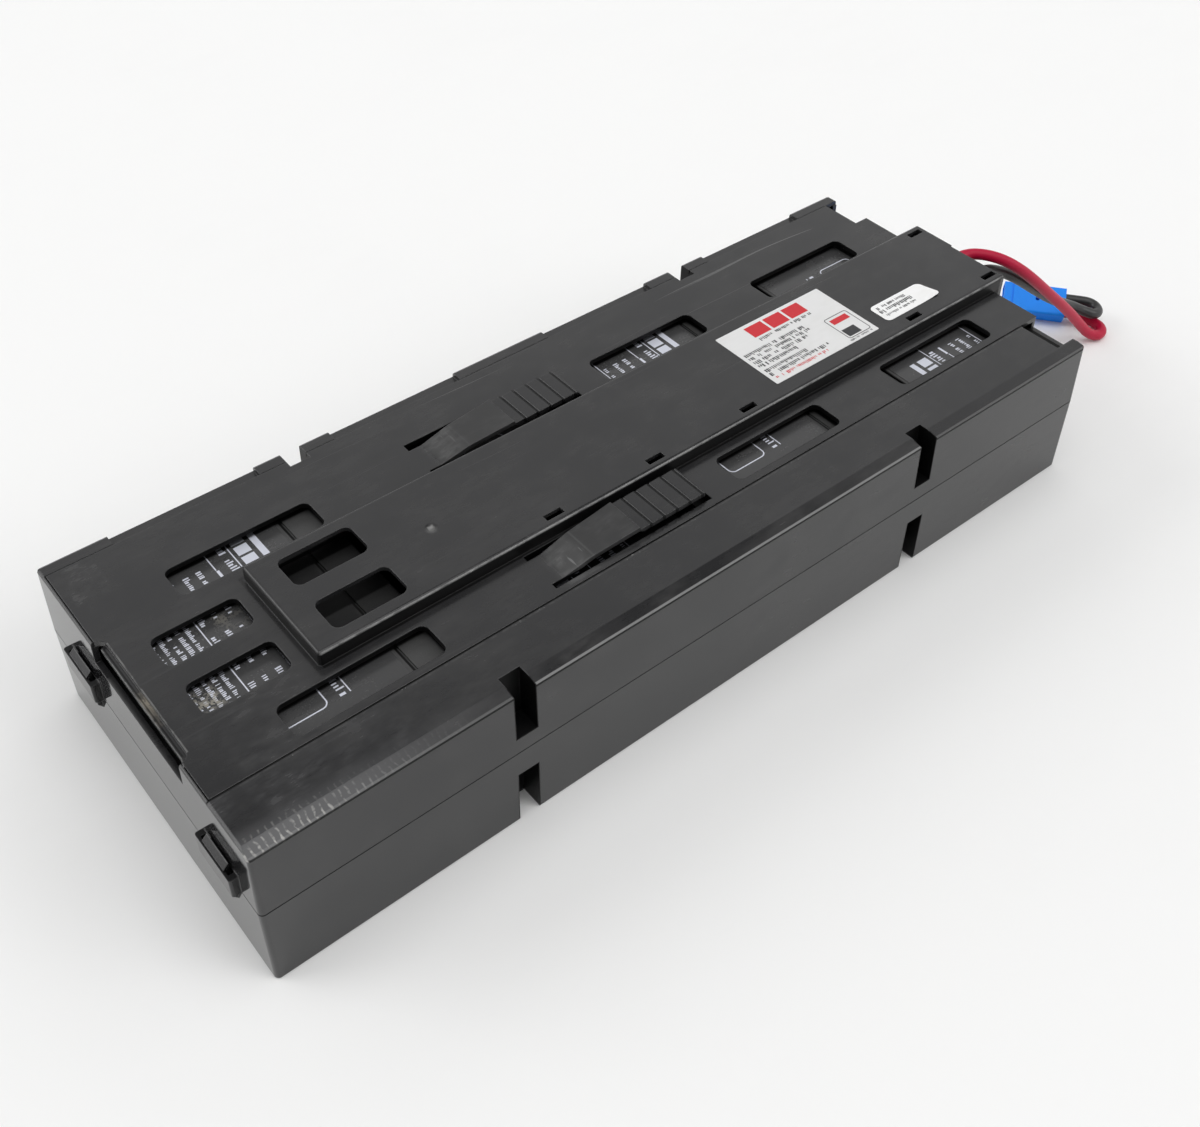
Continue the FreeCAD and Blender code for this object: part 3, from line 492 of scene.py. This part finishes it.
def specks_group():
    """Small grains that gather in patches, fewer as the rarity grows."""
    tree, given, result = group_of(
        "specks", (("Place", "Vector"), ("Scale", "Float"), ("Rarity", "Float")), "Mask")
    small = noise_of(tree, given["Place"], given["Scale"], 2.0, 0.7)
    coarse = math_of(tree, "DIVIDE", given["Scale"], 12.0)
    patches = ramp_of(tree, noise_of(tree, given["Place"], coarse), 0.35, 0.65)
    above = math_of(tree, "ADD", given["Rarity"], 0.06)
    tree.links.new(math_of(tree, "MULTIPLY", ramp_of(tree, small, given["Rarity"], above), patches), result)


def moulded_grain_group():
    """The height of a fine grain over gentle waves fifty times as wide."""
    tree, given, result = group_of("moulded_grain", (("Place", "Vector"), ("Scale", "Float")), "Height")
    coarse = noise_of(tree, given["Place"], math_of(tree, "MULTIPLY", given["Scale"], 0.02), 2.0)
    grain = noise_of(tree, given["Place"], given["Scale"], 2.0)
    tree.links.new(math_of(tree, "MULTIPLY_ADD", coarse, 4.0, grain), result)


class Finish:
    """A material whose colour, roughness and painted shade are layers over plain values."""

    def __init__(self, name, colour, roughness, **values):
        self.material = bpy.data.materials.new(name)
        self.material.use_nodes = True
        self.tree = self.material.node_tree
        self.shader = self.tree.nodes["Principled BSDF"]
        for key, value in values.items():
            self.shader.inputs[key.replace("_", " ")].default_value = value
        self.at = place(self.tree, "ShaderNodeTexCoord").outputs["Object"]
        self.colour = (*colour, 1)
        self.roughness = roughness
        self.metallic = None
        self.normal = None

    def group(self, name, **inputs):
        """The result of a shared effect at each point of the object."""
        made = place(self.tree, "ShaderNodeGroup", node_tree=bpy.data.node_groups[name])
        for key, value in {"Place": self.at, **inputs}.items():
            give(self.tree, made.inputs[key], value)
        return made.outputs[0]

    def spot(self, along, across, height, softness):
        """A soft box, from ranges behind the front face, across and up, in millimetres."""
        spans = ((front_x / mm + along[0], front_x / mm + along[1]), across, height)
        middle = [(low + high) / 2 * mm for low, high in spans]
        half = [(high - low) / 2 * mm for low, high in spans]
        return self.group("soft_box", Middle=middle, Half=half, Softness=softness * mm)

    def patchy(self, scale, low, high, detail=3.0):
        """A noise of one scale, carried from nothing at a low value to one at a high value."""
        return ramp_of(self.tree, noise_of(self.tree, self.at, scale, detail), low, high)

    def both(self, *masks):
        """The product of masks and numbers."""
        result = masks[0]
        for mask in masks[1:]:
            result = math_of(self.tree, "MULTIPLY", result, mask)
        return result

    def layer(self, mask, colour=None, roughness=None):
        """Another colour or roughness, where the mask is."""
        if colour:
            inputs = {0: mask, 6: self.colour, 7: (*colour, 1)}
            self.colour = place(self.tree, "ShaderNodeMix", inputs, data_type="RGBA").outputs[2]
        if roughness is not None:
            inputs = {0: mask, 2: self.roughness, 3: roughness}
            self.roughness = place(self.tree, "ShaderNodeMix", inputs, data_type="FLOAT").outputs[0]

    def shade(self, mask, share=0.85):
        """Painted shade where the mask is: a near-black colour with a metallic mask, standing in for the shade in a
        groove or recess.
        """
        mask = self.both(mask, share)
        self.layer(mask, deep_shadow, 0.5)
        self.metallic = math_of(self.tree, "MAXIMUM", self.metallic, mask) if self.metallic else mask

    def round_edges(self, radius):
        """Shades edges as if they were rounded to a radius in metres, and gives a mask of where they are."""
        self.normal = place(self.tree, "ShaderNodeBevel", {"Radius": radius}, samples=6).outputs["Normal"]
        flat = place(self.tree, "ShaderNodeNewGeometry").outputs["True Normal"]
        return ramp_of(self.tree, dot_of(self.tree, self.normal, flat), 0.80, 0.985, 1.0, 0.0)

    def bump(self, height, strength, distance):
        """A bump from a height in shares of a distance in metres, over the rounded edges where there are any."""
        inputs = {"Height": height, "Strength": strength, "Distance": distance}
        if self.normal:
            inputs["Normal"] = self.normal
        normal = place(self.tree, "ShaderNodeBump", inputs).outputs["Normal"]
        self.tree.links.new(normal, self.shader.inputs["Normal"])

    def dress(self, *pieces):
        """Sets the layers on the shader and gives the pieces this material."""
        give(self.tree, self.shader.inputs["Base Color"], self.colour)
        give(self.tree, self.shader.inputs["Roughness"], self.roughness)
        if self.metallic:
            give(self.tree, self.shader.inputs["Metallic"], self.metallic)
        for piece in pieces:
            slots = piece.data.materials
            slots.clear()
            slots.append(self.material)


def case_finish(name, rounding):
    """Black moulded plastic with wiped handling marks, faint scratches, a fine grain, and worn edges that look rounded
    to a radius in metres."""
    finish = Finish(name, (0.016, 0.016, 0.017), 0.17, IOR=1.55)
    marks = finish.group("handling_marks", Scale=16.0)
    finish.layer(finish.both(marks, 0.7), (0.042, 0.0415, 0.0415), 0.38)
    finish.layer(finish.both(finish.group("handling_marks", Scale=60.0), 0.6), (0.036, 0.0355, 0.0355), 0.32)
    scratch = finish.group("fine_scratches", Stretch=(7.0, 330.0, 330.0))
    finish.layer(finish.both(scratch, 0.12), grey(0.09), 0.45)
    finish.layer(finish.spot(*front_face), None, 0.05)
    worn = finish.round_edges(rounding)
    finish.layer(finish.both(worn, finish.patchy(260.0, 0.35, 0.7), 0.4), (0.075, 0.075, 0.076), 0.3)
    finish.bump(finish.group("moulded_grain", Scale=1300.0), 0.05, 0.0002)
    return finish


def shade_notches(finish, height):
    """Painted shade in the insides of the side notches, over a range of heights."""
    for along in notch_spans:
        for across in notch_sides:
            finish.shade(finish.spot(along, across, height, notch_fade))


def lower_tray_finish():
    """The lower tray: painted shade in the notches and along the parting line."""
    lower = case_finish("black_lower_tray", tray_rounding)
    shade_notches(lower, lower_notch_height)
    lower.shade(lower.spot(*lower_parting), 0.7)
    lower.dress(nodes["lower_tray"])


def painted_strip_reflection(upper, uneven):
    """Painted reflection on the strip's outer band: a painted sheen, and rows of short light strokes, a sine along X
    that sways, brightest at the front corner.
    """
    along = place(upper.tree, "ShaderNodeSeparateXYZ", {0: upper.at}).outputs[0]
    sway = math_of(upper.tree, "MULTIPLY", noise_of(upper.tree, upper.at, 190.0, 2.0), 7.0)
    wave = math_of(upper.tree, "SINE", math_of(upper.tree, "MULTIPLY_ADD", along, full_turn / reflection_streak_pitch, sway))
    reflection_streaks = upper.both(ramp_of(upper.tree, wave, 0.35, 1.0), uneven)
    fading = upper.spot(*strip_fading)
    corner = upper.spot(*strip_corner)
    # Painted sheen along the strip's outer band, strongest near the front
    glow = upper.both(upper.spot(*strip_glow), upper.spot(*strip_top))
    upper.layer(upper.both(glow, fading, 0.8), (0.075, 0.075, 0.078))
    # Painted reflection streaks, lighter and warmer at the front corner
    for low, high, share in reflection_streak_rows:
        row = upper.spot(reflection_streak_reach, (low, high), strip_height, 0.8)
        upper.layer(upper.both(row, fading, reflection_streaks, 0.5 * share), grey(0.20))
        upper.layer(upper.both(row, corner, reflection_streaks, 0.8 * share), (0.46, 0.45, 0.42))


def upper_tray_finish():
    """The upper tray: painted reflection streaks, sheen and smudges on the strip, dust and a painted highlight at the
    joint, a painted highlight and painted shade along the outer edge, and painted shade in the notches, parting line,
    joint gap and loops.
    """
    upper = case_finish("black_upper_tray", tray_rounding)
    uneven = upper.patchy(330.0, 0.34, 0.62, 2.0)
    painted_strip_reflection(upper, uneven)
    smudged = upper.both(upper.spot(*strip_smudge), upper.group("handling_marks", Scale=52.0))
    upper.layer(upper.both(smudged, 0.8), (0.06, 0.06, 0.062), 0.42)
    # A painted highlight line beside the joint, with dust specks on it
    joint = upper.spot(*joint_highlight_and_dust_band)
    upper.layer(upper.both(joint, uneven, 0.4), (0.065, 0.065, 0.064))
    upper.layer(upper.both(joint, upper.group("specks", Scale=700.0, Rarity=0.66)), (0.3, 0.3, 0.29))
    # Painted highlight along the strip's outer edge, strongest between the notches
    for along, share in edge_highlights:
        upper.layer(upper.both(upper.spot(along, (-82.0, -81.0), (72.0, 72.8), 0.25), share), grey(0.2), 0.3)
    # Painted shade line under the strip's outer edge
    upper.shade(upper.spot(*edge_shade_line))
    shade_notches(upper, upper_notch_height)
    upper.shade(upper.spot(*upper_parting), 0.7)
    # Painted shade in the gap between the strip and the cover
    upper.shade(upper.spot(*joint_gap_shade))
    # Painted shade on the snap loops at the front
    upper.shade(upper.spot(*snap_loop_shade), 0.4)
    upper.dress(nodes["upper_tray"])


def worn_latches(cover):
    """Latch ramps rubbed dull, pale and creased at the foot, with a painted highlight on the crease and painted shade
    in the grooves between the ribs.
    """
    rubbed = cover.group("handling_marks", Scale=75.0)
    creased = cover.group("fine_scratches", Stretch=(620.0, 90.0, 90.0))
    for low, high, wear in latches:
        ramp = cover.spot((157, 191), (low, high), (73.9, 80), 3)
        cover.layer(cover.both(ramp, 0.5), grey(0.036), 0.40)
        cover.layer(cover.both(ramp, rubbed, 0.6), rubbed_grey, 0.46)
        foot = cover.spot((159, 165), (low + 2, high - 2), (73.9, 79), 7)
        cover.layer(cover.both(foot, 0.5 * wear), grey(0.065), 0.46)
        cover.layer(cover.both(foot, rubbed, wear), grey(0.12), 0.5)
        cover.layer(cover.both(foot, creased, 0.7 * wear), grey(0.17))
        # Painted highlight along the crease of the ramp
        crease = cover.spot((169.4, 169.7), (low, high), (74, 79), 0.5)
        cover.layer(cover.both(crease, 0.3 * wear), grey(0.10))
        # Painted shade in the grooves between the ribs
        for rib in latch_ribs:
            cover.shade(cover.spot((rib - 0.4, rib + 1.0), (low - 1, high + 2), (70, 80), 0.2), 0.6)


def channel_marks(cover, uneven):
    """A painted highlight with worn specks along the channel's edge, painted shade on the window walls and on the
    channel's front and right walls, and a pale disc with a painted highlight at the moulding gate mark on its top.
    """
    # Painted highlight along the channel's right edge, with worn specks
    edge = cover.spot(*channel_edge_highlight_and_wear)
    cover.layer(cover.both(edge, uneven, 0.8), (0.19, 0.19, 0.187), 0.32)
    cover.layer(cover.both(edge, cover.group("specks", Scale=700.0, Rarity=0.66)), (0.35, 0.35, 0.34))
    # Painted shade on the walls of the windows and on the channel's front and right walls
    cover.shade(cover.spot(*window_wall_shade), 0.9)
    cover.shade(cover.spot(*channel_front_wall_shade), 0.3)
    cover.shade(cover.spot(*channel_front_edge_shade), 0.5)
    cover.shade(cover.spot(*channel_right_wall_shade), 0.7)
    away = vector_of(cover.tree, "DISTANCE", cover.at, gate_mark, "Value")
    cover.layer(ramp_of(cover.tree, away, *gate_reach, 1.0, 0.0), (0.09, 0.09, 0.088), 0.3)
    # Painted highlight on the raised side of the gate mark
    cover.layer(cover.both(cover.spot(*gate_highlight), uneven), (0.28, 0.28, 0.275), 0.4)


def dusty_lip(cover, uneven):
    """Grime on the grip's lip, a painted shade line along it and a painted highlight on each of its edges."""
    strip = cover.both(cover.spot(*lip_top), cover.spot(*lip_dust), uneven)
    grime = cover.group("specks", Scale=420.0, Rarity=0.42)
    cover.layer(cover.both(strip, 0.9), (0.11, 0.098, 0.08), 0.6)
    cover.layer(cover.both(strip, grime), (0.28, 0.25, 0.20), 0.7)
    # Painted shade line along the middle of the lip
    cover.shade(cover.spot(*lip_shade_line), 0.6)
    # Painted highlights on the lip's edges
    for along, height in lip_highlights:
        cover.layer(cover.both(cover.spot(along, (-32, 30), height, 0.2), uneven, 0.8), (0.13, 0.13, 0.128), 0.35)


def cover_finish():
    """The cover: scratched and smudged panel, worn latches, channel edges and a dusty lip, with painted shade in
    grooves and recesses and painted highlights on edges.
    """
    cover = case_finish("black_top_cover", cover_rounding)
    scratch = cover.group("fine_scratches", Stretch=(5.0, 520.0, 520.0))
    cover.layer(cover.both(cover.spot(*panel_scratches), scratch, 0.6), grey(0.14))
    smudged = cover.both(cover.spot(*panel_smudge), cover.group("handling_marks", Scale=48.0))
    cover.layer(cover.both(smudged, 0.8), rubbed_grey, 0.42)
    cover.layer(cover.both(cover.spot(*panel_corner), cover.group("handling_marks", Scale=110.0)), rubbed_grey, 0.45)
    worn_latches(cover)
    uneven = cover.patchy(140.0, 0.3, 0.62)
    channel_marks(cover, uneven)
    dusty_lip(cover, uneven)
    cover.dress(nodes["top_cover"])


def settled_dust(finish):
    """Pale dust that lies in patches behind the front windows."""
    for along, across in dust_patches:
        patch = finish.spot(along, across, (67, 69), 4)
        finish.layer(finish.both(patch, finish.group("specks", Scale=560.0, Rarity=0.46)), (0.34, 0.32, 0.27), 0.85)


def under_panel(finish):
    """A mask of painted shade for what lies under the cover's panel: one less the greatest of the soft boxes below its
    windows.
    """
    seen = 0.0
    for along, (low, high) in cover_windows:
        for across in ((low, high), (-high, -low)):
            seen = math_of(finish.tree, "MAXIMUM", seen, finish.spot(along, across, (60, 75), 1.5))
    return math_of(finish.tree, "SUBTRACT", 1.0, seen)


def battery_finishes():
    """Batteries behind the windows: textured plastic, glossy printed film whose grey base is a painted reflection,
    white print and settled dust, with painted shade under the channel, in the lid joints and under the panel.
    """
    case = Finish("black_battery_case", grey(0.055), 0.5)
    case.layer(case.both(case.group("specks", Scale=900.0, Rarity=0.62), 0.2), (0.12, 0.12, 0.11), 0.8)
    # Painted shade on cases and lids: under the channel, in the lid joints and under the panel
    case.shade(case.spot(*under_channel_shade), 0.5)
    for joint in lid_joints:
        case.shade(case.spot((joint - 0.5, joint + 0.5), (-77, 77), (66, 69), 0.2))
    case.shade(under_panel(case), 0.9)
    case.bump(case.group("moulded_grain", Scale=1800.0), 0.25, 0.0002)
    case.dress(*(nodes[f"battery_{part}_{number}"] for part in ("case", "lid") for number in battery_numbers))

    # The film is black; its grey base colour is a painted reflection of the pale surroundings
    film = Finish("black_label_film", (0.057, 0.057, 0.058), 0.24)
    film.layer(film.both(film.group("handling_marks", Scale=40.0), 0.5), grey(0.078), 0.42)
    film.layer(film.both(film.group("specks", Scale=1000.0, Rarity=0.56), 0.08), (0.2, 0.2, 0.19), 0.6)
    settled_dust(film)
    # Painted shade on the film under the channel and under the panel
    film.shade(film.spot(*under_channel_shade), 0.5)
    film.shade(under_panel(film), 0.9)
    film.bump(film.group("moulded_grain", Scale=500.0), 0.08, 0.0002)
    film.dress(*(nodes[f"battery_label_{number}"] for number in battery_numbers))

    ink = Finish("white_film_print", (0.66, 0.68, 0.76), 0.45)
    ink.layer(ink.group("specks", Scale=1200.0, Rarity=0.70), grey(0.35), 0.6)
    settled_dust(ink)
    # Painted shade on the print under the panel
    ink.shade(under_panel(ink), 0.7)
    ink.dress(*battery_prints())


def label_finishes():
    """Paper labels with a faint mottle, and their coloured and grey print."""
    for name, white, label in (
        ("large_label_paper", 0.72, nodes["large_label"]),
        ("small_label_paper", 0.88, curled_label()),
    ):
        paper = Finish(name, grey(white), 0.42)
        mottle = paper.group("handling_marks", Scale=45.0)
        paper.layer(paper.both(mottle, 0.5), (0.9 * white, 0.9 * white, 0.88 * white), 0.55)
        paper.bump(paper.group("moulded_grain", Scale=1500.0), 0.1, 0.0001)
        paper.dress(label)
    red, dark, small = label_prints()
    for name, colour, faded, pieces in (
        ("red_label_print", (0.56, 0.015, 0.025), (0.7, 0.35, 0.35), (red,)),
        ("grey_label_print", (0.03, 0.03, 0.033), (0.3, 0.3, 0.3), (dark, small)),
    ):
        ink = Finish(name, colour, 0.45)
        ink.layer(ink.group("specks", Scale=1300.0, Rarity=0.68), faded, 0.55)
        ink.dress(*pieces)


def lead_finishes(red_pieces, black_pieces):
    """Soft insulation with faint rubbed marks, red and black."""
    red = Finish("red_insulation", (0.44, 0.003, 0.036), 0.42, Specular_IOR_Level=0.28)
    red.layer(red.both(red.group("handling_marks", Scale=90.0), 0.4), (0.48, 0.015, 0.06), 0.52)
    red.bump(red.group("moulded_grain", Scale=700.0), 0.12, 0.0002)
    red.dress(*red_pieces)
    black = Finish("black_insulation", (0.016, 0.016, 0.017), 0.36)
    black.layer(black.both(black.group("handling_marks", Scale=90.0), 0.5), grey(0.05), 0.5)
    black.bump(black.group("moulded_grain", Scale=700.0), 0.12, 0.0002)
    black.dress(*black_pieces)


def small_part_finishes():
    """The plug's blue plastic, the tinned metal of terminals and contacts, and the foam pads."""
    blue = Finish("blue_plug", (0.005, 0.245, 0.92), 0.48, Specular_IOR_Level=0.28)
    blue.layer(blue.both(blue.group("handling_marks", Scale=70.0), 0.3), (0.011, 0.27, 0.93), 0.55)
    blue.bump(blue.group("moulded_grain", Scale=1300.0), 0.15, 0.0002)
    blue.dress(nodes["connector_housing"])

    metal = Finish("tinned_metal", (0.66, 0.65, 0.62), 0.34, Metallic=1.0)
    metal.layer(metal.group("handling_marks", Scale=200.0), (0.5, 0.49, 0.46), 0.5)
    metal.dress(*(nodes[name] for name in ("battery_terminals", "spade_receptacles", "red_contact", "black_contact")))

    foam = Finish("black_foam", grey(0.02), 0.9)
    foam.layer(foam.group("specks", Scale=1500.0, Rarity=0.5), grey(0.05))
    foam.bump(foam.group("moulded_grain", Scale=900.0), 0.6, 0.0006)
    foam.dress(nodes["front_pad"], nodes["centre_pad"])


def light_floor():
    """A round pale floor: radius times the unit circle on a polar grid."""
    rings = np.linspace(0, 1, floor_rings)[:, None] ** 2 * floor_radius
    angles = np.linspace(0, full_turn, floor_spokes + 1)[None, :-1]
    x = rings * np.cos(angles)
    y = rings * np.sin(angles)
    points = np.stack((x, y, np.zeros_like(x)), axis=-1).reshape(-1, 3)
    here = np.arange((floor_rings - 1) * floor_spokes).reshape(floor_rings - 1, floor_spokes)
    beside = np.roll(here, -1, axis=1)
    faces = np.stack((here, here + floor_spokes, beside + floor_spokes, beside), axis=-1).reshape(-1, 4)
    mesh = bpy.data.meshes.new("pale_floor")
    mesh.from_pydata(points.tolist(), [], faces.tolist())
    floor = linked("pale_floor", mesh)
    finish = Finish("pale_floor", (0.90, 0.90, 0.895), 0.8, Specular_IOR_Level=0.15)
    finish.layer(finish.both(finish.group("handling_marks", Scale=5.0), 0.4), (0.87, 0.87, 0.865))
    finish.dress(floor)


def studio_light():
    """Pale surroundings that darken softly behind the photographer and at the ceiling, a soft window on each side of
    the camera and one broad soft light from overhead."""
    world = bpy.data.worlds.new("studio")
    world.use_nodes = True
    tree = world.node_tree
    towards = place(tree, "ShaderNodeTexCoord").outputs["Generated"]
    photographer = -Vector(camera_aim).normalized()
    level = ramp_of(tree, dot_of(tree, towards, photographer), *wall_fade)
    ceiling = ramp_of(tree, dot_of(tree, towards, (0, 0, 1)), *ceiling_fade)
    level = math_of(tree, "MULTIPLY", level, ceiling)
    for window in studio_windows:
        near = dot_of(tree, towards, Vector(window).normalized())
        level = math_of(tree, "ADD", level, ramp_of(tree, near, *window_fade))
    background = tree.nodes["Background"].inputs
    background["Color"].default_value = (1, 1, 1, 1)
    tree.links.new(level, background["Strength"])
    bpy.context.scene.world = world
    data = bpy.data.lights.new("soft_light", "SUN")
    data.energy = light_energy
    data.angle = light_angle
    lamp = linked("soft_light", data)
    lamp.rotation_euler = Vector(light_aim).to_track_quat("-Z", "Y").to_euler()


bpy.context.scene.view_settings.view_transform = "Standard"
aim_camera()
red_lead, black_lead = free_leads()
soft_box_group()
handling_marks_group()
fine_scratches_group()
specks_group()
moulded_grain_group()
lower_tray_finish()
upper_tray_finish()
cover_finish()
battery_finishes()
label_finishes()
lead_finishes(
    (red_lead, nodes["red_lead_inner"]),
    (black_lead, *(nodes[name] for name in ("black_lead_inner", "front_jumper", "middle_jumper", "rear_jumper"))),
)
small_part_finishes()
light_floor()
studio_light()
